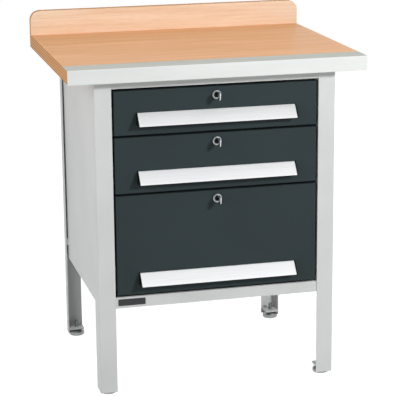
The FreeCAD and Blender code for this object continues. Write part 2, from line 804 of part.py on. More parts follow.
def levelling_feet():
    """Turned steel feet on threaded spindles, and the plates in the legs that hold them."""
    half_outline = [
        ("0", "0"),
        ("Dim.foot_radius - Dim.foot_chamfer", "0"),
        ("Dim.foot_radius", "Dim.foot_chamfer"),
        ("Dim.foot_radius", "Dim.foot_rim"),
        ("Dim.foot_shoulder", "Dim.foot_height"),
        ("Dim.spindle_radius", "Dim.foot_height"),
        ("Dim.spindle_radius", "Dim.spindle_top"),
        ("0", "Dim.spindle_top"),
    ]
    left_x = f"(-{SIDE} + {FOOT_INSET})"
    right_x = f"({SIDE} - {FOOT_INSET})"
    plate_left = f"(-{SIDE} + Dim.leg_bend)"
    plate_width = "(Dim.nut_plate_reach - Dim.leg_bend)"
    plate_deep = "(Dim.nut_plate_reach - Dim.leg_sheet)"
    rows = {
        "front": (f"({FRONT} + {FOOT_INSET})", WEB_BACK),
        "rear": (f"({BACK} - {FOOT_INSET})", f"({REAR_WEB} - {plate_deep})"),
    }
    plates = []
    for row_name, (foot_y, plate_y) in rows.items():
        for side_name, foot_x in (("left", left_x), ("right", right_x)):
            piece(turn(half_outline, (foot_x, foot_y, "0")), f"{row_name}_{side_name}_foot")
        plate = block(
            (plate_left, plate_y, "Dim.nut_plate_level"),
            (plate_width, plate_deep, "Dim.nut_plate_thick"),
        )
        thread = rod(
            "z", (left_x, foot_y, "Dim.nut_plate_level"),
            "Dim.spindle_radius + Dim.spindle_fit", "Dim.nut_plate_thick",
        )
        tapped = cut(plate, thread)
        plates += [tapped, mirror(tapped)]
    piece(group(*plates), "foot_nut_plates")


def build():
    """Make every piece of the bench."""
    worktop()
    legs()
    side_panels()
    carriers()
    rails()
    piece(traverse(DRAWERS["middle"][1]), "upper_traverse")
    piece(traverse(DRAWERS["lower"][1]), "lower_traverse")
    closing_sheets()
    fixed_members = []
    for name, (low, top) in DRAWERS.items():
        fixed_members += drawer(name, low, top)
    piece(group(*fixed_members), "outer_runners")
    levelling_feet()
    doc.recompute()


def check():
    """Stop on any failed object or unusable shape."""
    failed = [item.Label for item in doc.Objects if {"Invalid", "Error"} & set(item.State)]
    bad = [item.Label for item in pieces if item.Shape.isNull() or not item.Shape.isValid()]
    if failed or bad:
        raise RuntimeError(f"failed objects {failed}, bad shapes {bad}")


def export():
    """Write each piece to its own file."""
    os.makedirs("parts", exist_ok=True)
    for item in pieces:
        item.Shape.exportStep(os.path.join("parts", f"{item.Label}.step"))
        print(item.Label, len(item.Shape.Solids), round(item.Shape.Volume))


build()
check()
export()
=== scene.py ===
"""Box workbench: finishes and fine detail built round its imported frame, with a plain studio stage."""
import math

import bmesh
import bpy
from bpy.props import FloatProperty, FloatVectorProperty, IntProperty, PointerProperty
from bpy.types import Operator, Panel, PropertyGroup
from mathutils import Matrix, Vector


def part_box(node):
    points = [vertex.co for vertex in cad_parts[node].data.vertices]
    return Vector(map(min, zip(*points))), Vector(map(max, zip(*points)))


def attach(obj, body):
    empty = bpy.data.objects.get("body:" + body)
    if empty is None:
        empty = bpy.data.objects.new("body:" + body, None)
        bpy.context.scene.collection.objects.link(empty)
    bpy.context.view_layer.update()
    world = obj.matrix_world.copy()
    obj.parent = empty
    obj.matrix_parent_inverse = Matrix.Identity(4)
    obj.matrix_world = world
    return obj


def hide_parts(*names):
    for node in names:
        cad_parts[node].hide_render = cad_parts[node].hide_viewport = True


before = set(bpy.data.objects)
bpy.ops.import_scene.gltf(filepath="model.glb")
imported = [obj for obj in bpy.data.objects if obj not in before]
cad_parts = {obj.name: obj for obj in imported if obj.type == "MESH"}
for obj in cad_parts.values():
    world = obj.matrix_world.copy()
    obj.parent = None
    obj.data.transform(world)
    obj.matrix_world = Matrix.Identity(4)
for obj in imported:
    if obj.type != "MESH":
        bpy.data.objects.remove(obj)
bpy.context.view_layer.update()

bl_info = {
    "name": "Box workbench",
    "version": (1, 0, 0),
    "blender": (4, 5, 0),
    "location": "View3D > Sidebar > Workbench",
    "description": "Builds the looks of a box workbench round its packed frame",
    "category": "Object",
}

MM = 0.001
DRAWERS = ("upper", "middle", "lower")
CORNERS = ("front_left", "front_right", "rear_left", "rear_right")
SHEETS = (
    "front_left_leg", "front_right_leg", "rear_left_leg", "rear_right_leg",
    "left_side_panel", "right_side_panel", "left_runner_carrier", "right_runner_carrier",
    "top_front_rail", "bottom_front_rail", "rear_panel", "bottom_panel", "foot_nut_plates",
)
X, Y, Z = range(3)

# Shapes that the frame's boxes don't give
SHARP = math.radians(32)
FACING = 0.7
WELD = 0.001 * MM
ARC_STEPS = 5
BEVEL_STEPS = 3
RING_STEPS = 48
BEAD_STEPS = 10
STEM_STEPS = 24
ROWS_PER_PITCH = 4
UPSTAND_ROUND = 26 * MM
SINK_DEPTH = 3 * MM
SINK_FIT = 0.1 * MM
FOLD_SOFT = 0.3 * MM
TRAY_WALL = 1 * MM
HEM_SOFT = 0.4 * MM
PLATE_CORNER = 1.5 * MM
PLATE_RIM = 1.2 * MM
PLATE_SUNK = 0.3 * MM
HANDLE_WALL = 2.2 * MM
HANDLE_CREST = 3 * MM
HANDLE_TIP = 1.5 * MM
HANDLE_FLANGE = 24 * MM
HANDLE_SOFT = 0.6 * MM
CAP_MARGIN = 0.7 * MM
CAP_SOFT = 0.9 * MM
CAP_EDGE = 0.3 * MM
# Screw node, body, axis, way the head points, height of the head and radius of the shank
SCREWS = (
    ("worktop_screws", "frame", Z, -1, 2.5 * MM, 2 * MM),
    ("upstand_screws", "frame", Y, 1, 3 * MM, 2.5 * MM),
    ("rear_panel_screws", "frame", Y, 1, 2.5 * MM, 2 * MM),
    *(
        (f"{name}_drawer_handle_screws", f"{name}_drawer", Y, 1, 2.5 * MM, 1.75 * MM)
        for name in DRAWERS
    ),
)
# Points up the side of a pan head, as shares of its radius and of its height
PAN_HEAD = ((1, 0), (1, 0.45), (0.93, 0.72), (0.75, 0.92), (0.45, 1), (0, 1))
RECESS_ARM, RECESS_HALF, RECESS_FLOOR = 0.58, 0.12, 0.35

# Sockets of a colour Mix node, whose names come up more than once
SHARE, FIRST, SECOND, MIXED = 0, 6, 7, 2

# Studio
WHITE = (1, 1, 1, 1)
FLOOR_HALF = 30
FLOOR_GLOW = 0.88
SENSOR_WIDTH = 36


def linear(code):
    """Linear red, green and blue of an sRGB hex colour."""
    parts = [int(code[at:at + 2], 16) / 255 for at in (1, 3, 5)]
    return tuple(p / 12.92 if p <= 0.04045 else ((p + 0.055) / 1.055) ** 2.4 for p in parts)


def colour(name, description, code):
    """Colour setting whose default is an sRGB hex value."""
    return FloatVectorProperty(
        name=name, description=description, subtype="COLOR", size=3, min=0, max=1, default=linear(code)
    )


def length(name, description, millimetres):
    """Length setting whose default is in millimetres."""
    return FloatProperty(
        name=name, description=description, unit="LENGTH", min=0, precision=4, default=millimetres * MM
    )


def watts(name, description, power):
    """Setting for the power of a lamp."""
    return FloatProperty(name=name, description=description, subtype="POWER", min=0, default=power)


class WorktopLook(PropertyGroup):
    """Sizes and colours of the beech worktop and its metal front edge"""
    arris: length("Arris", "Radius of the worktop's eased edges", 1.5)
    ply: length("Ply", "Thickness of one drawn ply on the cut edges", 3.5)
    fold_gap: length("Fold gap", "Room between the front strip's fold and the legs", 2)
    pale: colour("Pale veneer", "Lightest tone of the top", "#f8be8d")
    warm: colour("Warm veneer", "Middle tone of the top", "#edae78")
    # The upstand's two tones are paler than the top's beech. That is painted light, for the stronger
    # light that falls on the upstand's front.
    upstand_pale_painted_lit: colour("Pale upstand", "Lightest tone of the upstand", "#ebd1b8")
    upstand_warm_painted_lit: colour("Warm upstand", "Middle tone of the upstand", "#e3c2a4")
    streak: colour("Streak", "Darker streaks along the grain", "#d0965f")
    fleck: colour("Fleck", "Short brown flecks of beech", "#b0764a")
    long_ply: colour("Long grain ply", "Light plies on the cut edges", "#d9a672")
    end_ply: colour("End grain ply", "Dark plies on the cut edges", "#b87c48")
    edge_metal: colour("Front edge", "Silver lacquer on the folded front strip", "#d4d7d5")
    edge_glance: colour("Front edge glance", "Tint of the silver lacquer at a flat angle", "#c8c7ba")


class SteelLook(PropertyGroup):
    """Colours and texture of the painted steel sheets"""
    light_grey: colour("Light grey", "Powder coat of legs, panels and rails", "#cccecd")
    anthracite: colour("Anthracite", "Powder coat of the drawer fronts", "#2f383a")
    tray: colour("Tray grey", "Powder coat of the drawer trays", "#3a4043")
    peel: length("Orange peel", "Width of the bumps in the powder coat", 2.5)
    hem: length("Hem", "Height of the folded rim inside each tray", 9)
    hem_sheet: length("Hem sheet", "Thickness of the folded rim", 1.2)


class FittingLook(PropertyGroup):
    """Sizes and colours of handles, locks, screws, runners and feet"""
    aluminium: colour("Aluminium", "Satin anodised handle strips", "#edeeef")
    chrome: colour("Chrome", "Plated lock cylinders", "#9ba0a2")
    nickel: colour("Nickel", "Plated keys", "#c4c7c7")
    zinc: colour("Zinc", "Plated screws and runners", "#bfc2c4")
    foot: colour("Foot", "Plated feet and spindles", "#97999a")
    plastic: colour("Black plastic", "Handle caps", "#0e0f10")
    plate: colour("Plate", "Dark grey plastic of the blank plate", "#2a2b2c")
    # This black also lines the key slots, as painted shade there.
    shutter_and_slot_shade: colour("Shutter", "Black face of a lock plug", "#101112")
    thread_pitch: length("Thread pitch", "Pitch of the foot spindles", 1.5)
    thread_depth: length("Thread depth", "Depth of the foot spindles' thread", 0.9)
    knurl_depth: length("Knurl depth", "Depth of the grip notches round a foot", 0.7)
    knurls: IntProperty(name="Knurls", description="Grip notches round a foot", min=3, default=36)


class StageLook(PropertyGroup):
    """Camera, lamps and floor"""
    eye: FloatVectorProperty(
        name="Eye", description="Place of the camera", subtype="TRANSLATION", unit="LENGTH", size=3,
        default=(-0.9935, -4.0464, 1.5007),
    )
    yaw: FloatProperty(name="Yaw", description="Turn to the right", subtype="ANGLE", default=0.2456)
    pitch: FloatProperty(name="Pitch", description="Tilt down", subtype="ANGLE", default=0.2530)
    roll: FloatProperty(name="Roll", description="Lean of the camera", subtype="ANGLE", default=0.0091)
    lens: FloatProperty(
        name="Lens", description="Focal length", subtype="DISTANCE_CAMERA", default=145.97
    )
    key: watts("Key", "Lamp at the front right", 57.5)
    fill: watts("Fill", "Lamp at the left", 47)
    back: watts("Back", "Lamp behind the bench", 32)
    shine: watts("Shine", "Lamp seen in gloss and metal", 84)
    ambient: FloatProperty(name="Ambient", description="Even light of the room", min=0, default=0.3)
    floor: colour("Floor", "Colour of the studio floor", "#b4b4b4")
    floor_shade: colour("Floor shade", "Lighter makes the shadow on the floor deeper", "#a6a6a6")


def add(tree, kind, inputs=None, **settings):
    """Add a shader node with its settings, and set or link its inputs."""
    made = tree.nodes.new("ShaderNode" + kind)
    for name, value in settings.items():
        setattr(made, name, value)
    for socket, value in (inputs or {}).items():
        if isinstance(value, bpy.types.Node):
            value = value.outputs[0]
        if isinstance(value, bpy.types.NodeSocket):
            tree.links.new(value, made.inputs[socket])
        else:
            made.inputs[socket].default_value = value
    return made


def start(name):
    """Material of that name with an empty node tree."""
    made = bpy.data.materials.get(name) or bpy.data.materials.new(name)
    made.use_nodes = True
    made.node_tree.nodes.clear()
    return made, made.node_tree


def per_mm(*sizes):
    """Pattern scale that gives features of these sizes in millimetres along X, Y and Z."""
    return tuple(1 / (size * MM) for size in sizes)


def opaque(rgb):
    """Colour of a node socket."""
    return (*rgb, 1.0)


def beech_veneer(name, look, pale, warm):
    """Beech face veneer, peeled, sanded and lacquered."""
    # Gives the eye pale warm wood with soft streaks and faint flecks along the grain,
    # under a clear coat that mirrors what stands behind it at a flat angle.
    made, tree = start(name)
    place = add(tree, "TexCoord").outputs["Object"]
    stretched = add(tree, "Mapping", {"Vector": place, "Scale": per_mm(420, 30, 30)})
    figure = add(tree, "TexNoise", {"Vector": stretched, "Scale": 1, "Detail": 5, "Distortion": 0.7})
    tone = add(tree, "MapRange", {"Value": figure, "From Min": 0.34, "From Max": 0.66})
    veneer = add(
        tree, "Mix", {SHARE: tone, FIRST: opaque(pale), SECOND: opaque(warm)}, data_type="RGBA"
    ).outputs[MIXED]

    # Growth streaks are 1 to 2 mm wide, and are drawn 5 mm wide to show in the picture.
    along = add(tree, "Mapping", {"Vector": place, "Scale": per_mm(240, 5, 5)})
    lines = add(tree, "TexNoise", {"Vector": along, "Scale": 1, "Detail": 3, "Roughness": 0.6})
    streak = add(
        tree, "MapRange", {"Value": lines, "From Min": 0.5, "From Max": 0.75, "To Max": 0.34}
    )
    streaked = add(
        tree, "Mix", {SHARE: streak, FIRST: veneer, SECOND: opaque(look.streak)}, data_type="RGBA"
    ).outputs[MIXED]

    # Flecks are 3 mm long and 0.3 mm wide, and are drawn 26 mm long and 1.8 mm wide to show.
    dashes = add(tree, "Mapping", {"Vector": place, "Scale": per_mm(26, 1.8, 1.8)})
    specks = add(tree, "TexNoise", {"Vector": dashes, "Scale": 1, "Detail": 1})
    fleck = add(
        tree, "MapRange", {"Value": specks, "From Min": 0.55, "From Max": 0.75, "To Max": 0.14}
    )
    face = add(
        tree, "Mix", {SHARE: fleck, FIRST: streaked, SECOND: opaque(look.fleck)}, data_type="RGBA"
    ).outputs[MIXED]

    sheen = add(tree, "MapRange", {"Value": lines, "To Min": 0.52, "To Max": 0.68})
    relief = add(tree, "Bump", {"Height": specks, "Strength": 0.12, "Distance": 0.2 * MM})
    shader = add(
        tree, "BsdfPrincipled",
        {
            "Base Color": face, "Roughness": sheen, "IOR": 1.46, "Specular IOR Level": 0.15,
            "Normal": relief, "Coat Weight": 0.16, "Coat Roughness": 0.15, "Coat IOR": 1.5,
        },
    )
    add(tree, "OutputMaterial", {"Surface": shader})
    return made


def beech_plies(name, look, thickness):
    """Cut edge of beech plywood, sanded and oiled, with its plies square to the thickness axis."""
    # Gives the eye dull stripes, light where a ply's grain runs along the edge
    # and dark where it ends there.
    made, tree = start(name)
    place = add(tree, "TexCoord").outputs["Object"]
    depth = add(tree, "SeparateXYZ", {0: place}).outputs[thickness]
    plies = add(tree, "Math", {0: depth, 1: 1 / look.ply}, operation="MULTIPLY")
    stripe = add(tree, "Math", {0: plies, 1: 1.0}, operation="PINGPONG")
    band = add(tree, "MapRange", {"Value": stripe, "From Min": 0.3, "From Max": 0.7})
    striped = add(
        tree, "Mix",
        {SHARE: band, FIRST: opaque(look.long_ply), SECOND: opaque(look.end_ply)},
        data_type="RGBA",
    ).outputs[MIXED]
    # Pores are under 0.1 mm wide, and are drawn 1.5 mm wide to show.
    pores = add(tree, "TexNoise", {"Vector": place, "Scale": 1 / (1.5 * MM), "Detail": 2})
    shade = add(
        tree, "MapRange",
        {"Value": pores, "From Min": 0.3, "From Max": 0.7, "To Min": 0.9, "To Max": 1.06},
    )
    wood = add(tree, "HueSaturation", {"Color": striped, "Value": shade})
    dull = add(tree, "MapRange", {"Value": pores, "To Min": 0.56, "To Max": 0.72})
    relief = add(tree, "Bump", {"Height": pores, "Strength": 0.15, "Distance": 0.2 * MM})
    shader = add(
        tree, "BsdfPrincipled",
        {
            "Base Color": wood, "Roughness": dull, "IOR": 1.46, "Specular IOR Level": 0.2,
            "Normal": relief,
        },
    )
    add(tree, "OutputMaterial", {"Surface": shader})
    return made


def powder_coat(name, rgb, peel, roughness, gloss):
    """Sheet steel with a sprayed and baked polyester powder coat."""
    # Gives the eye an even satin skin with a fine orange peel and a slight drift of tone over a sheet.
    made, tree = start(name)
    place = add(tree, "TexCoord").outputs["Object"]
    drift = add(tree, "TexNoise", {"Vector": place, "Scale": 1 / (220 * MM), "Detail": 3})
    shade = add(
        tree, "MapRange",
        {"Value": drift, "From Min": 0.3, "From Max": 0.7, "To Min": 0.955, "To Max": 1.045},
    )
    skin = add(tree, "HueSaturation", {"Color": opaque(rgb), "Value": shade})
    # The bumps of a fine coat are about 1 mm wide, and the setting draws them wider to show.
    bumps = add(tree, "TexNoise", {"Vector": place, "Scale": 1 / peel, "Detail": 2})
    satin = add(
        tree, "MapRange",
        {"Value": bumps, "To Min": roughness - 0.06, "To Max": roughness + 0.06},
    )
    relief = add(tree, "Bump", {"Height": bumps, "Strength": 0.1, "Distance": 0.1 * MM})
    shader = add(
        tree, "BsdfPrincipled",
        {
            "Base Color": skin, "Roughness": satin, "IOR": 1.5, "Specular IOR Level": gloss,
            "Normal": relief,
        },
    )
    add(tree, "OutputMaterial", {"Surface": shader})
    return made


def anodised_aluminium(rgb):
    """Aluminium strip, extruded, brushed along its length and clear anodised."""
    # Gives the eye a bright satin band with faint streaks along the strip.
    made, tree = start("aluminium, brushed and anodised")
    place = add(tree, "TexCoord").outputs["Object"]
    # Brush lines are about 0.1 mm apart, and are drawn 1.4 mm apart to show.
    lines = add(tree, "Mapping", {"Vector": place, "Scale": per_mm(160, 1.4, 1.4)})
    brush = add(tree, "TexNoise", {"Vector": lines, "Scale": 1, "Detail": 3, "Roughness": 0.6})
    shade = add(
        tree, "MapRange",
        {"Value": brush, "From Min": 0.3, "From Max": 0.7, "To Min": 0.94, "To Max": 1.03},
    )
    metal = add(tree, "HueSaturation", {"Color": opaque(rgb), "Value": shade})
    satin = add(tree, "MapRange", {"Value": brush, "To Min": 0.56, "To Max": 0.7})
    relief = add(tree, "Bump", {"Height": brush, "Strength": 0.06, "Distance": 0.05 * MM})
    shader = add(
        tree, "BsdfPrincipled",
        {"Base Color": metal, "Metallic": 1.0, "Roughness": satin, "Normal": relief},
    )
    add(tree, "OutputMaterial", {"Surface": shader})
    return made


def silver_lacquer(rgb, glance, peel):
    """Folded steel strip with a smooth lacquer full of aluminium flakes."""
    # Gives the eye a pale satin metal band that brightens towards the lamp and greys at a flat angle.
    made, tree = start("steel strip, silver lacquered")
    place = add(tree, "TexCoord").outputs["Object"]
    stretched = add(tree, "Mapping", {"Vector": place, "Scale": per_mm(300, 40, 40)})
    drift = add(tree, "TexNoise", {"Vector": stretched, "Scale": 1, "Detail": 3})
    shade = add(
        tree, "MapRange",
        {"Value": drift, "From Min": 0.3, "From Max": 0.7, "To Min": 0.96, "To Max": 1.03},
    )
    skin = add(tree, "HueSaturation", {"Color": opaque(rgb), "Value": shade})
    bumps = add(tree, "TexNoise", {"Vector": place, "Scale": 1 / peel, "Detail": 2})
    satin = add(tree, "MapRange", {"Value": bumps, "To Min": 0.4, "To Max": 0.52})
    relief = add(tree, "Bump", {"Height": bumps, "Strength": 0.05, "Distance": 0.1 * MM})
    shader = add(
        tree, "BsdfPrincipled",
        {
            "Base Color": skin, "Metallic": 1.0, "Roughness": satin, "Normal": relief,
            "Specular Tint": opaque(glance),
        },
    )
    add(tree, "OutputMaterial", {"Surface": shader})
    return made


def bright_plate(name, rgb):
    """Zinc casting or brass sheet, polished, then plated with chrome or nickel."""
    # Gives the eye sharp bright and dark reflections with a trace of handling marks.
    made, tree = start(name)
    place = add(tree, "TexCoord").outputs["Object"]
    marks = add(tree, "TexNoise", {"Vector": place, "Scale": 1 / (4 * MM), "Detail": 4})
    polish = add(
        tree, "MapRange",
        {"Value": marks, "From Min": 0.4, "From Max": 0.7, "To Min": 0.12, "To Max": 0.26},
    )
    shade = add(
        tree, "MapRange",
        {"Value": marks, "From Min": 0.3, "From Max": 0.7, "To Min": 0.93, "To Max": 1.02},
    )
    metal = add(tree, "HueSaturation", {"Color": opaque(rgb), "Value": shade})
    shader = add(tree, "BsdfPrincipled", {"Base Color": metal, "Metallic": 1.0, "Roughness": polish})
    add(tree, "OutputMaterial", {"Surface": shader})
    return made


def zinc_plate(name, rgb):
    """Pressed and turned steel, zinc plated."""
    # Gives the eye a soft grey metal with cloudy patches a centimetre or so wide.
    made, tree = start(name)
    place = add(tree, "TexCoord").outputs["Object"]
    clouds = add(tree, "TexNoise", {"Vector": place, "Scale": 1 / (14 * MM), "Detail": 4})
    shade = add(
        tree, "MapRange",
        {"Value": clouds, "From Min": 0.3, "From Max": 0.7, "To Min": 0.86, "To Max": 1.05},
    )
    metal = add(tree, "HueSaturation", {"Color": opaque(rgb), "Value": shade})
    satin = add(tree, "MapRange", {"Value": clouds, "To Min": 0.26, "To Max": 0.46})
    # The grit of the plating is under 0.1 mm wide, and is drawn 0.8 mm wide to show.
    grit = add(tree, "TexNoise", {"Vector": place, "Scale": 1 / (0.8 * MM), "Detail": 2})
    relief = add(tree, "Bump", {"Height": grit, "Strength": 0.05, "Distance": 0.05 * MM})
    shader = add(
        tree, "BsdfPrincipled",
        {"Base Color": metal, "Metallic": 1.0, "Roughness": satin, "Normal": relief},
    )
    add(tree, "OutputMaterial", {"Surface": shader})
    return made


def moulded_abs(name, rgb, gloss):
    """Dark ABS, moulded with a fine spark-eroded grain."""
    # Gives the eye a dull dark plastic whose grain breaks up the reflections.
    made, tree = start(name)
    place = add(tree, "TexCoord").outputs["Object"]
    # The grain is about 0.2 mm wide, and is drawn 0.9 mm wide to show.
    grain = add(tree, "TexVoronoi", {"Vector": place, "Scale": 1 / (0.9 * MM)})
    shade = add(tree, "MapRange", {"Value": grain, "To Min": 1.08, "To Max": 0.9})
    skin = add(tree, "HueSaturation", {"Color": opaque(rgb), "Value": shade})
    matt = add(tree, "MapRange", {"Value": grain, "To Min": 0.5, "To Max": 0.7})
    relief = add(tree, "Bump", {"Height": grain, "Strength": 0.15, "Distance": 0.06 * MM})
    shader = add(
        tree, "BsdfPrincipled",
        {
            "Base Color": skin, "Roughness": matt, "IOR": 1.53, "Specular IOR Level": gloss,
            "Normal": relief,
        },
    )
    add(tree, "OutputMaterial", {"Surface": shader})
    return made


def black_shutter_and_slot_shade(rgb):
    """Steel dust shutter, blackened and greased, whose black also lines the key slot as painted shade.
    """
    # Gives the eye a dark face with a faint smeary gleam. Down the key slot, the same black is painted
    # shade.
    made, tree = start("steel lock shutter, blackened")
    place = add(tree, "TexCoord").outputs["Object"]
    grease = add(tree, "TexNoise", {"Vector": place, "Scale": 1 / (1.5 * MM), "Detail": 2})
    shade = add(tree, "MapRange", {"Value": grease, "To Min": 0.5, "To Max": 1.1})
    metal = add(tree, "HueSaturation", {"Color": opaque(rgb), "Value": shade})
    dull = add(tree, "MapRange", {"Value": grease, "To Min": 0.5, "To Max": 0.7})
    shader = add(tree, "BsdfPrincipled", {"Base Color": metal, "Metallic": 0.6, "Roughness": dull})
    add(tree, "OutputMaterial", {"Surface": shader})
    return made


def dress(material, *nodes):
    """Give CAD nodes their finish."""
    for node in nodes:
        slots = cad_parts[node].data.materials
        slots.clear()
        slots.append(material)


def spot(axis, along, across):
    """Point at a distance along an axis and at two coordinates across it."""
    point = list(across)
    point.insert(axis, along)
    return Vector(point)


def rounded(corners):
    """Outline of (across, up, radius) corners, each corner turned into an arc of its radius."""
    outline = []
    for at, (across, up, radius) in enumerate(corners):
        corner = Vector((across, up))
        if radius == 0:
            outline.append(corner)
            continue
        before = (Vector(corners[at - 1][:2]) - corner).normalized()
        after = (Vector(corners[(at + 1) % len(corners)][:2]) - corner).normalized()
        half = before.angle(after) / 2
        centre = corner + (before + after).normalized() * radius / math.sin(half)
        first = corner + before * radius / math.tan(half) - centre
        last = corner + after * radius / math.tan(half) - centre
        turn = -first.angle_signed(last)
        for step in range(ARC_STEPS + 1):
            outline.append(centre + Matrix.Rotation(turn * step / ARC_STEPS, 2) @ first)
    return outline


def rectangle(near, far, *radii):
    """Outline of a rectangle from one corner to the opposite one, with one radius or one for each."""
    corners = ((near.x, near.y), (far.x, near.y), (far.x, far.y), (near.x, far.y))
    return rounded([(*corner, radius) for corner, radius in zip(corners, radii * (4 // len(radii)))])


def close_up(work):
    """Turn every face of a solid outwards."""
    bmesh.ops.recalc_face_normals(work, faces=work.faces)
    return work


def extruded(outline, axis, begin, end):
    """Solid of an outline across an axis, pushed along that axis."""
    work = bmesh.new()
    near = [work.verts.new(spot(axis, begin, point)) for point in outline]
    far = [work.verts.new(spot(axis, end, point)) for point in outline]
    work.faces.new(near)
    work.faces.new(far)
    for at in range(len(outline)):
        work.faces.new((near[at - 1], near[at], far[at], far[at - 1]))
    return close_up(work)


def turned(profile, axis, centre, steps=RING_STEPS, ring=False, ripple=None):
    """Solid of a (radius, along) profile turned about an axis; a ring's profile is a closed loop."""
    work = bmesh.new()
    rows = []
    for radius, along in profile:
        row = []
        for step in range(steps if radius else 1):
            angle = 2 * math.pi * step / steps
            reach = ripple(radius, along, step) if ripple else radius
            across = (reach * math.cos(angle), reach * math.sin(angle))
            row.append(work.verts.new(centre + spot(axis, along, across)))
        rows.append(row)
    pairs = zip(rows, rows[1:] + rows[:1] if ring else rows[1:])
    for low, high in pairs:
        for step in range(steps):
            loop = [low[step % len(low)], low[(step + 1) % steps % len(low)]]
            loop += [high[(step + 1) % steps % len(high)], high[step % len(high)]]
            work.faces.new(dict.fromkeys(loop))
    return close_up(work)


def rod(radius, reach, axis, centre):
    """Round rod along an axis, as far on both sides of its centre as it reaches."""
    return turned(((0, -reach), (radius, -reach), (radius, reach), (0, reach)), axis, centre)


def framed(low, high, profile):
    """Ring whose closed (inset, height) profile runs round the rectangle from low to high."""
    work = bmesh.new()
    rows = []
    for inset, height in profile:
        left, right = low.x + inset, high.x - inset
        front, rear = low.y + inset, high.y - inset
        corners = ((left, front), (right, front), (right, rear), (left, rear))
        rows.append([work.verts.new((x, y, height)) for x, y in corners])
    for below, above in zip(rows, rows[1:] + rows[:1]):
        for at in range(4):
            work.faces.new((below[at - 1], below[at], above[at], above[at - 1]))
    return close_up(work)


def ease(work, radius, wanted=None):
    """Round the sharp edges of a solid, or those that are wanted."""
    edges = [edge for edge in work.edges if edge.calc_face_angle(0) > SHARP]
    if wanted:
        edges = [edge for edge in edges if wanted(edge)]
    bmesh.ops.bevel(
        work, geom=edges, offset=radius, offset_type="OFFSET", segments=BEVEL_STEPS, profile=0.5,
        affect="EDGES", clamp_overlap=True,
    )
    return work


def two_faced(work, thickness):
    """Give a board's edges its second material, and its two faces the first."""
    work.normal_update()
    for face in work.faces:
        face.material_index = int(abs(face.normal[thickness]) < FACING)
    return work


def shaped(name, work, *materials):
    """Object of a worked solid, smooth but for its sharp edges."""
    mesh = bpy.data.meshes.new(name)
    work.to_mesh(mesh)
    work.free()
    mesh.shade_smooth()
    mesh.set_sharp_from_angle(angle=SHARP)
    for material in materials:
        mesh.materials.append(material)
    made = bpy.data.objects.new(name, mesh)
    bpy.context.scene.collection.objects.link(made)
    return made


def gather(store, work, shift=(0, 0, 0)):
    """Move a solid and add it to a store of solids."""
    mesh = bpy.data.meshes.new("part")
    bmesh.ops.translate(work, verts=work.verts, vec=shift)
    work.to_mesh(mesh)
    work.free()
    store.from_mesh(mesh)
    bpy.data.meshes.remove(mesh)


def carve(made, cutter):
    """Cut one object's solid out of another and drop the cutter."""
    cut = made.modifiers.new("cut", "BOOLEAN")
    cut.object = cutter
    cut.operation = "DIFFERENCE"
    cut.solver = "EXACT"
    cut.material_mode = "TRANSFER"
    bpy.context.view_layer.update()
    carved = bpy.data.meshes.new_from_object(made.evaluated_get(bpy.context.evaluated_depsgraph_get()))
    made.modifiers.clear()
    made.data = carved
    carved.shade_smooth()
    carved.set_sharp_from_angle(angle=SHARP)
    bpy.data.objects.remove(cutter)


def settle(made, body, slot, *stands_for):
    """Let a piece ride on a body and stand for CAD nodes; its slot is not used."""
    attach(made, body)
    if stands_for:
        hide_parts(*stands_for)


def solids(node):
    """Boxes of the separate solids of a CAD node, in the same order at each run."""
    work = bmesh.new()
    work.from_mesh(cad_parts[node].data)
    bmesh.ops.remove_doubles(work, verts=work.verts, dist=WELD)
    left = set(work.verts)
    boxes = []
    while left:
        solid = set()
        border = {next(iter(left))}
        while border:
            solid |= border
            border = {edge.other_vert(v) for v in border for edge in v.link_edges} - solid
        left -= solid
        low = Vector(min(v.co[axis] for v in solid) for axis in range(3))
        high = Vector(max(v.co[axis] for v in solid) for axis in range(3))
        boxes.append((low, high))
    work.free()
    return sorted(boxes, key=lambda box: tuple(box[0]))


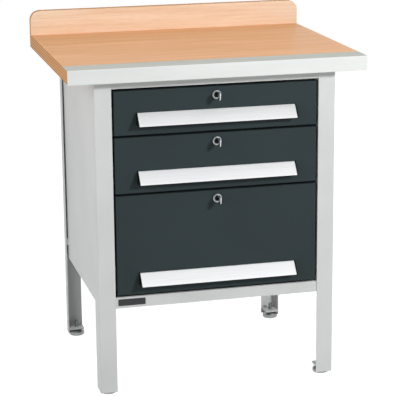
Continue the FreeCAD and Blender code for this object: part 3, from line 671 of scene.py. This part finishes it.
class BENCH_OT_worktop(Operator):
    """Build the beech slab and its upstand, and finish the front strip and its fold under the slab"""
    bl_idname = "bench.worktop"
    bl_label = "Worktop"

    def execute(self, context):
        look = context.scene.bench_worktop
        slab_low, slab_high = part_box("worktop_slab")
        strip_low, strip_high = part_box("front_edge_strip")
        sheet = slab_low.y - strip_low.y
        lip_end = strip_high.y
        step_down = slab_high.z - sheet
        section = (
            (slab_low.y, slab_low.z), (slab_high.y, slab_low.z), (slab_high.y, slab_high.z),
            (lip_end, slab_high.z), (lip_end, step_down), (slab_low.y, step_down),
        )

        def on_end(edge):
            """True for an arris of the slab's ends, clear of the rebate under the strip."""
            first, second = (v.co for v in edge.verts)
            high_up = max(first.z, second.z) > step_down - sheet
            far_forward = min(first.y, second.y) < lip_end - sheet
            return first.x == second.x and not (high_up and far_forward)

        slab = ease(extruded(section, X, slab_low.x, slab_high.x), look.arris, on_end)
        veneer = beech_veneer("beech veneer, lacquered top", look, look.pale, look.warm)
        plies = beech_plies("beech plies, edge of the top", look, Z)
        top = shaped("beech_worktop", two_faced(slab, Z), veneer, plies)
        settle(top, "frame", "beech", "worktop_slab")

        low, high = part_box("rear_upstand")
        outline = rectangle(low.xz, high.xz, 0, 0, UPSTAND_ROUND, UPSTAND_ROUND)
        board = extruded(outline, Y, low.y, high.y)
        # The upstand's veneer is a paler copy of the top's: painted light, not a different wood.
        veneer = beech_veneer(
            "beech veneer, lacquered upstand, with painted light", look, look.upstand_pale_painted_lit, look.upstand_warm_painted_lit
        )
        plies = beech_plies("beech plies, edge of the upstand", look, Y)
        upstand = shaped("beech_upstand", two_faced(ease(board, look.arris), Y), veneer, plies)
        for screw_low, screw_high in solids("upstand_screws"):
            middle = (screw_low + screw_high) / 2
            radius = (screw_high.x - screw_low.x) / 2 + SINK_FIT
            seat = Vector((middle.x, high.y, middle.z))
            carve(upstand, shaped("sink", rod(radius, SINK_DEPTH, Y, seat), plies))
        settle(upstand, "frame", "beech", "rear_upstand")

        peel = context.scene.bench_steel.peel
        silver = silver_lacquer(look.edge_metal, look.edge_glance, peel)
        dress(silver, "front_edge_strip")
        fold_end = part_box("front_left_leg")[0].y - look.fold_gap
        outline = rectangle(
            Vector((strip_low.y, strip_low.z - sheet)), Vector((fold_end, strip_low.z)), 0
        )
        fold = ease(extruded(outline, X, strip_low.x, strip_high.x), FOLD_SOFT)
        settle(shaped("edge_strip_fold", fold, silver), "frame", "edge_metal")
        return {"FINISHED"}


class BENCH_OT_frame_sheets(Operator):
    """Finish the legs, panels and rails"""
    bl_idname = "bench.frame_sheets"
    bl_label = "Frame sheets"

    def execute(self, context):
        look = context.scene.bench_steel
        coat = powder_coat(
            "steel, light grey powder coat", look.light_grey, look.peel, roughness=0.46, gloss=0.4
        )
        dress(coat, *SHEETS)
        return {"FINISHED"}


class BENCH_OT_name_plate(Operator):
    """Build the blank plate on the bottom rail"""
    bl_idname = "bench.name_plate"
    bl_label = "Name plate"

    def execute(self, context):
        low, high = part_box("blank_name_plate")
        plate = extruded(rectangle(low.xz, high.xz, PLATE_CORNER), Y, low.y, high.y)
        front = next(face for face in plate.faces if face.normal.y < -FACING)
        bmesh.ops.inset_individual(plate, faces=[front], thickness=PLATE_RIM, depth=0)
        bmesh.ops.translate(plate, verts=front.verts, vec=(0, PLATE_SUNK, 0))
        plastic = moulded_abs("dark grey ABS, plate", context.scene.bench_fitting.plate, gloss=0.4)
        made = shaped("blank_plate", plate, plastic)
        settle(made, "frame", "black_plastic", "blank_name_plate")
        return {"FINISHED"}


class BENCH_OT_drawers(Operator):
    """Finish the drawer fronts and trays, darken the traverses as painted shade in the gaps between
    drawers, and hem the trays' rims
    """
    bl_idname = "bench.drawers"
    bl_label = "Drawers"

    def execute(self, context):
        look = context.scene.bench_steel
        fronts = powder_coat(
            "steel, anthracite powder coat and painted gap shade", look.anthracite, look.peel, roughness=0.52, gloss=0.1
        )
        trays = powder_coat(
            "steel, dark tray powder coat", look.tray, look.peel, roughness=0.52, gloss=0.25
        )
        # The traverses behind the gaps between drawers take the anthracite coat. That is painted shade,
        # so the gaps read dark.
        dress(fronts, "upper_traverse", "lower_traverse")
        for name in DRAWERS:
            drawer = f"{name}_drawer"
            dress(fronts, f"{drawer}_front")
            dress(trays, f"{drawer}_tray")
            low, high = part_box(f"{drawer}_tray")
            inside = TRAY_WALL + look.hem_sheet
            foot = high.z - look.hem
            rim = ((TRAY_WALL, foot), (TRAY_WALL, high.z), (inside, high.z), (inside, foot))
            hem = ease(framed(low, high, rim), HEM_SOFT)
            settle(shaped(f"{drawer}_tray_hem", hem, trays), drawer, "tray_paint")
        return {"FINISHED"}


class BENCH_OT_handles(Operator):
    """Build the strip handles and their end caps"""
    bl_idname = "bench.handles"
    bl_label = "Handles"

    def execute(self, context):
        look = context.scene.bench_fitting
        metal = anodised_aluminium(look.aluminium)
        plastic = moulded_abs("black ABS, matt caps", look.plastic, gloss=0.04)
        for name in DRAWERS:
            drawer = f"{name}_drawer"
            low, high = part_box(f"{drawer}_handle")
            slope = (high.z - low.z - HANDLE_TIP) / (high.y - low.y - HANDLE_CREST)
            wall_out = high.y - HANDLE_WALL
            inside_top = low.z + slope * (wall_out - low.y - HANDLE_WALL)
            flange_low = high.z - HANDLE_FLANGE
            section = rounded((
                (high.y, flange_low, 0), (high.y, high.z, 0),
                (high.y - HANDLE_CREST, high.z, HANDLE_SOFT),
                (low.y, low.z + HANDLE_TIP, HANDLE_SOFT), (low.y, low.z, HANDLE_SOFT),
                (low.y + HANDLE_WALL, low.z, HANDLE_SOFT), (wall_out, inside_top, HANDLE_SOFT),
                (wall_out, flange_low, HANDLE_SOFT),
            ))
            strip = shaped(f"{drawer}_handle_strip", extruded(section, X, low.x, high.x), metal)
            settle(strip, drawer, "aluminium", f"{drawer}_handle")
            caps = bmesh.new()
            for cap_low, cap_high in solids(f"{drawer}_handle_caps"):
                section = rounded((
                    (cap_high.y, cap_low.z, 0), (cap_high.y, cap_high.z, 0),
                    (cap_high.y - HANDLE_CREST - CAP_MARGIN, cap_high.z, CAP_SOFT),
                    (cap_low.y, cap_low.z + HANDLE_TIP + 2 * CAP_MARGIN, CAP_SOFT),
                    (cap_low.y, cap_low.z, CAP_SOFT),
                ))
                gather(caps, ease(extruded(section, X, cap_low.x, cap_high.x), CAP_EDGE))
            ends = shaped(f"{drawer}_end_caps", caps, plastic)
            settle(ends, drawer, "black_plastic", f"{drawer}_handle_caps")
        return {"FINISHED"}


class BENCH_OT_locks(Operator):
    """Build the lock collars and plugs, and finish the nuts and cams"""
    bl_idname = "bench.locks"
    bl_label = "Locks"

    def execute(self, context):
        look = context.scene.bench_fitting
        chrome = bright_plate("chrome, plated and polished", look.chrome)
        zinc = zinc_plate("steel, zinc plated", look.zinc)
        shutter_and_slot_shade = black_shutter_and_slot_shade(look.shutter_and_slot_shade)
        barrel, tail, sunk = 9 * MM, 4 * MM, 2 * MM
        fit, flush = 0.05 * MM, 0.01 * MM
        lip_foot, lip_top, lip_rise, lip_edge = 0.9 * MM, 0.7 * MM, 0.5 * MM, 0.3 * MM
        slot_half, slot_reach = Vector((1.1 * MM, 4.5 * MM)), 5 * MM
        for name in DRAWERS:
            drawer = f"{name}_drawer"
            low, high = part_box(f"{drawer}_lock_housing")
            collar = (high.x - low.x) / 2
            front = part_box(f"{drawer}_front")[0].y
            plug_low, plug_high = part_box(f"{drawer}_lock_plug")
            plug = (plug_high.x - plug_low.x) / 2
            bore = plug + fit
            height = front - low.y
            deep = high.y - low.y
            centre = Vector(((low.x + high.x) / 2, low.y, (low.z + high.z) / 2))
            crown = (collar + bore) / 2
            roll = (collar - bore) / 2
            profile = []
            for step in range(BEAD_STEPS + 1):
                angle = math.pi * step / BEAD_STEPS
                profile.append((crown - roll * math.cos(angle), roll - roll * math.sin(angle)))
            profile += [(collar, height), (barrel, height), (barrel, deep), (bore, deep)]
            housing = shaped(f"{drawer}_lock_collar", turned(profile, Y, centre, ring=True), chrome)
            settle(housing, drawer, "chrome", f"{drawer}_lock_housing")
            dress(zinc, f"{drawer}_lock_nut", f"{drawer}_lock_cam")

            face = Vector((centre.x, plug_low.y, centre.z))
            end = high.y - plug_low.y
            tail_end = plug_high.y - plug_low.y
            profile = (
                (0, sunk), (plug - lip_foot, sunk), (plug - lip_top, sunk - lip_rise),
                (plug, sunk - lip_edge), (plug, end), (tail, end), (tail, tail_end), (0, tail_end),
            )
            body = turned(profile, Y, face)
            for part in body.faces:
                part.material_index = int(part.calc_center_median().y < face.y + sunk + flush)
            made = shaped(f"{drawer}_lock_barrel_plug", body, chrome, shutter_and_slot_shade)
            middle = Vector((0, face.z))
            outline = rectangle(middle - slot_half, middle + slot_half, 0)
            slot = extruded(outline, Y, face.y - slot_reach, face.y + slot_reach)
            # The slot's walls take this black by transfer: painted shade down the key slot.
            carve(made, shaped("slot", slot, shutter_and_slot_shade))
            settle(made, f"{name}_lock", "chrome", f"{drawer}_lock_plug")
        return {"FINISHED"}


class BENCH_OT_keys(Operator):
    """Build the flat keys that stand in the locks"""
    bl_idname = "bench.keys"
    bl_label = "Keys"

    def execute(self, context):
        nickel = bright_plate("nickel, plated and polished", context.scene.bench_fitting.nickel)
        half_blade, half_bow = 4 * MM, 10.5 * MM
        blade_half_sheet, bow_half_sheet = 0.9 * MM, 1.7 * MM
        neck, bow_length, root, entry = 8 * MM, 24 * MM, 4 * MM, 4.5 * MM
        blade_soft, heel_soft, bow_soft, rim_soft = 0.5 * MM, 5 * MM, 9 * MM, 1.1 * MM
        hole, hole_inset, drill_reach = 3.2 * MM, 7 * MM, 8 * MM
        for name in DRAWERS:
            drawer = f"{name}_drawer"
            low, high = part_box(f"{drawer}_lock_housing")
            middle = (low + high) / 2
            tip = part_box(f"{drawer}_lock_plug")[0].y + entry
            heel = low.y - neck
            end = heel - bow_length
            outline = rectangle(
                Vector((heel, middle.z - half_bow)), Vector((end, middle.z + half_bow)),
                heel_soft, bow_soft, bow_soft, heel_soft,
            )
            sheet = extruded(outline, X, middle.x - bow_half_sheet, middle.x + bow_half_sheet)
            bow = shaped("bow", ease(sheet, rim_soft), nickel)
            place = Vector((middle.x, end + hole_inset, middle.z))
            carve(bow, shaped("drill", rod(hole, drill_reach, X, place), nickel))
            store = bmesh.new()
            store.from_mesh(bow.data)
            bpy.data.objects.remove(bow)
            outline = rectangle(
                Vector((tip, middle.z - half_blade)), Vector((heel - root, middle.z + half_blade)),
                blade_soft,
            )
            blade = extruded(outline, X, middle.x - blade_half_sheet, middle.x + blade_half_sheet)
            gather(store, blade)
            settle(shaped(f"{drawer}_key", store, nickel), f"{name}_lock", "chrome")
        return {"FINISHED"}


class BENCH_OT_runners(Operator):
    """Finish the telescopic runners"""
    bl_idname = "bench.runners"
    bl_label = "Runners"

    def execute(self, context):
        zinc = zinc_plate("steel, zinc plated", context.scene.bench_fitting.zinc)
        dress(zinc, "outer_runners")
        for name in DRAWERS:
            dress(zinc, f"{name}_drawer_inner_runners", f"{name}_drawer_mid_runners")
        return {"FINISHED"}


def screw(axis, outward, head, head_height, shank, grip, zinc):
    """Pan head screw with a cross recess, its seat at the origin and its head towards outward."""
    crown = outward * head_height
    tip = -outward * grip
    profile = [(0, tip), (shank, tip), (shank, 0)]
    profile += [(head * out, crown * up) for out, up in PAN_HEAD]
    made = shaped("screw", turned(profile, axis, Vector(), steps=STEM_STEPS), zinc)
    for across, up in ((RECESS_ARM, RECESS_HALF), (RECESS_HALF, RECESS_ARM)):
        half = Vector((head * across, head * up))
        bar = extruded(rectangle(-half, half, 0), axis, crown * RECESS_FLOOR, crown * 2)
        carve(made, shaped("bar", bar, zinc))
    return made


class BENCH_OT_screws(Operator):
    """Build the screws of the worktop, upstand, rear panel and handles"""
    bl_idname = "bench.screws"
    bl_label = "Screws"

    def execute(self, context):
        zinc = zinc_plate("steel, zinc plated", context.scene.bench_fitting.zinc)
        for node, body, axis, outward, head_height, shank in SCREWS:
            boxes = solids(node)
            low, high = boxes[0]
            head = (high.x - low.x) / 2
            grip = high[axis] - low[axis] - head_height
            pattern = screw(axis, outward, head, head_height, shank, grip, zinc)
            store = bmesh.new()
            for low, high in boxes:
                seat = (low + high) / 2
                seat[axis] = high[axis] - head_height if outward > 0 else low[axis] + head_height
                copy = bmesh.new()
                copy.from_mesh(pattern.data)
                gather(store, copy, seat)
            bpy.data.objects.remove(pattern)
            settle(shaped(f"{node}_crossed", store, zinc), body, "zinc", node)
        return {"FINISHED"}


class BENCH_OT_feet(Operator):
    """Build the knurled feet on their threaded spindles"""
    bl_idname = "bench.feet"
    bl_label = "Levelling feet"

    def execute(self, context):
        look = context.scene.bench_fitting
        metal = zinc_plate("steel, turned and zinc plated", look.foot)
        shoulder, height, spindle = 16 * MM, 14 * MM, 5 * MM
        chamfer, rim = 2 * MM, 9 * MM
        edge_in, edge_drop = 0.9 * MM, 0.8 * MM

        def grip(reach, along, step):
            """Notch the rim at every other step."""
            on_rim = reach > shoulder + chamfer and chamfer <= along <= rim
            return reach - look.knurl_depth if on_rim and step % 2 else reach

        def thread(reach, along, step):
            """Run a ridge round the spindle, one pitch to a turn."""
            turns = along / look.thread_pitch - step / STEM_STEPS
            ridge = abs(2 * (turns - math.floor(turns)) - 1)
            return reach - look.thread_depth * (1 - ridge) if reach else reach

        for corner in CORNERS:
            low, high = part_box(f"{corner}_foot")
            radius = (high.x - low.x) / 2
            centre = Vector(((low.x + high.x) / 2, (low.y + high.y) / 2, 0))
            profile = (
                (0, 0), (radius - chamfer, 0), (radius, chamfer), (radius, rim),
                (shoulder, height - edge_drop), (shoulder - edge_in, height), (0, height),
            )
            base = turned(profile, Z, centre, steps=2 * look.knurls, ripple=grip)
            rows = ROWS_PER_PITCH * round((high.z - height) / look.thread_pitch)
            rise = (high.z - height) / rows
            levels = [(spindle, height + row * rise) for row in range(rows + 1)]
            profile = ((0, height), *levels, (0, high.z))
            stem = turned(profile, Z, centre, steps=STEM_STEPS, ripple=thread)
            store = bmesh.new()
            gather(store, base)
            gather(store, stem)
            made = shaped(f"{corner}_knurled_foot", store, metal)
            settle(made, f"{corner}_foot", "foot_steel", f"{corner}_foot")
        return {"FINISHED"}


def seen_or_mirrored(tree):
    """Share of a ray that is seen by the camera, straight or in metal or glass."""
    path = add(tree, "LightPath").outputs
    shiny = add(tree, "Math", {0: path["Is Camera Ray"], 1: path["Is Glossy Ray"]}, operation="MAXIMUM")
    return add(tree, "Math", {0: shiny, 1: path["Is Transmission Ray"]}, operation="MAXIMUM")


class BENCH_OT_stage(Operator):
    """Set up the floor, the lamps, the white room and the camera"""
    bl_idname = "bench.stage"
    bl_label = "Stage"

    def execute(self, context):
        look = context.scene.bench_stage
        self.floor(look)
        self.room(context, look)
        aim = Vector((0, 0, 0.45))
        # Three lamps light the surfaces and don't show in gloss or metal. The broad weak shine lamp
        # shows only there, so nothing glares.
        lamps = (
            ("key_lamp", (1.4, -2.4, 1.78), 0.35, look.key),
            ("fill_lamp", (-2.6, -1.2, 1.6), 2.2, look.fill),
            ("back_lamp", (0.6, 3.0, 2.2), 2.4, look.back),
        )
        for name, place, size, power in lamps:
            self.lamp(name, Vector(place), aim, size, power).visible_glossy = False
        shine = self.lamp("shine_lamp", Vector((2.75, -3.52, 2.63)), aim, 5.8, look.shine)
        shine.visible_diffuse = False
        self.camera(context, look)
        context.scene.view_settings.view_transform = "Standard"
        return {"FINISHED"}

    def floor(self, look):
        """Pale floor that the camera sees nearly white, with the shadow kept."""
        made, tree = start("studio floor, painted")
        place = add(tree, "TexCoord").outputs["Object"]
        drift = add(tree, "TexNoise", {"Vector": place, "Scale": 1 / (1250 * MM), "Detail": 2})
        shade = add(tree, "MapRange", {"Value": drift, "To Min": 0.97, "To Max": 1.03})
        paint = add(tree, "HueSaturation", {"Color": opaque(look.floor), "Value": shade})
        bounce = add(tree, "BsdfDiffuse", {"Color": paint})
        # The glow is just short of white. Lamp light adds the rest where the bench doesn't shade it.
        glow = add(tree, "Emission", {"Color": WHITE, "Strength": FLOOR_GLOW})
        lit = add(tree, "BsdfDiffuse", {"Color": opaque(look.floor_shade)})
        white = add(tree, "AddShader", {0: glow, 1: lit})
        shader = add(tree, "MixShader", {0: seen_or_mirrored(tree), 1: bounce, 2: white})
        add(tree, "OutputMaterial", {"Surface": shader})
        work = bmesh.new()
        bmesh.ops.create_grid(work, x_segments=1, y_segments=1, size=FLOOR_HALF)
        shaped("studio_floor", work, made)

    def room(self, context, look):
        """Even light all round, and white where the camera or metal looks past the floor."""
        world = bpy.data.worlds.new("studio")
        context.scene.world = world
        world.use_nodes = True
        tree = world.node_tree
        tree.nodes.clear()
        even = add(tree, "Background", {"Color": WHITE, "Strength": look.ambient})
        white = add(tree, "Background", {"Color": WHITE, "Strength": 1.0})
        shader = add(tree, "MixShader", {0: seen_or_mirrored(tree), 1: even, 2: white})
        add(tree, "OutputWorld", {"Surface": shader})

    def lamp(self, name, place, aim, size, power):
        """Square soft lamp that looks at a point."""
        data = bpy.data.lights.new(name, "AREA")
        data.shape = "SQUARE"
        data.size = size
        data.energy = power
        made = bpy.data.objects.new(name, data)
        bpy.context.scene.collection.objects.link(made)
        made.location = place
        made.rotation_mode = "QUATERNION"
        made.rotation_quaternion = (aim - place).to_track_quat("-Z", "Y")
        made.visible_camera = False
        return made

    def camera(self, context, look):
        """Camera at the photograph's place, with no shift and no blur."""
        data = bpy.data.cameras.new("camera")
        data.sensor_width = SENSOR_WIDTH
        data.lens = look.lens
        made = bpy.data.objects.new("camera", data)
        context.scene.collection.objects.link(made)
        made.matrix_world = (
            Matrix.Translation(look.eye)
            @ Matrix.Rotation(-look.yaw, 4, "Z")
            @ Matrix.Rotation(math.pi / 2 - look.pitch, 4, "X")
            @ Matrix.Rotation(-look.roll, 4, "Z")
        )
        context.scene.camera = made


class BENCH_PT_sidebar(Panel):
    """Lists the steps that build the workbench"""
    bl_idname = "BENCH_PT_sidebar"
    bl_label = "Box workbench"
    bl_space_type = "VIEW_3D"
    bl_region_type = "UI"
    bl_category = "Workbench"

    def draw(self, context):
        for step in STEPS:
            self.layout.operator(step.bl_idname)


LOOKS = {
    "bench_worktop": WorktopLook,
    "bench_steel": SteelLook,
    "bench_fitting": FittingLook,
    "bench_stage": StageLook,
}
STEPS = (
    BENCH_OT_worktop, BENCH_OT_frame_sheets, BENCH_OT_name_plate, BENCH_OT_drawers, BENCH_OT_handles,
    BENCH_OT_locks, BENCH_OT_keys, BENCH_OT_runners, BENCH_OT_screws, BENCH_OT_feet, BENCH_OT_stage,
)


def register():
    """Register the settings, the steps and the panel."""
    for kind in (*LOOKS.values(), *STEPS, BENCH_PT_sidebar):
        bpy.utils.register_class(kind)
    for name, kind in LOOKS.items():
        setattr(bpy.types.Scene, name, PointerProperty(type=kind))


def unregister():
    """Take the panel, the steps and the settings away again."""
    for name in LOOKS:
        delattr(bpy.types.Scene, name)
    for kind in (BENCH_PT_sidebar, *reversed(STEPS), *LOOKS.values()):
        bpy.utils.unregister_class(kind)


def main():
    register()
    bpy.ops.bench.worktop()
    bpy.ops.bench.frame_sheets()
    bpy.ops.bench.name_plate()
    bpy.ops.bench.drawers()
    bpy.ops.bench.handles()
    bpy.ops.bench.locks()
    bpy.ops.bench.keys()
    bpy.ops.bench.runners()
    bpy.ops.bench.screws()
    bpy.ops.bench.feet()
    bpy.ops.bench.stage()
    bpy.context.view_layer.update()


if __name__ == "__main__":
    main()
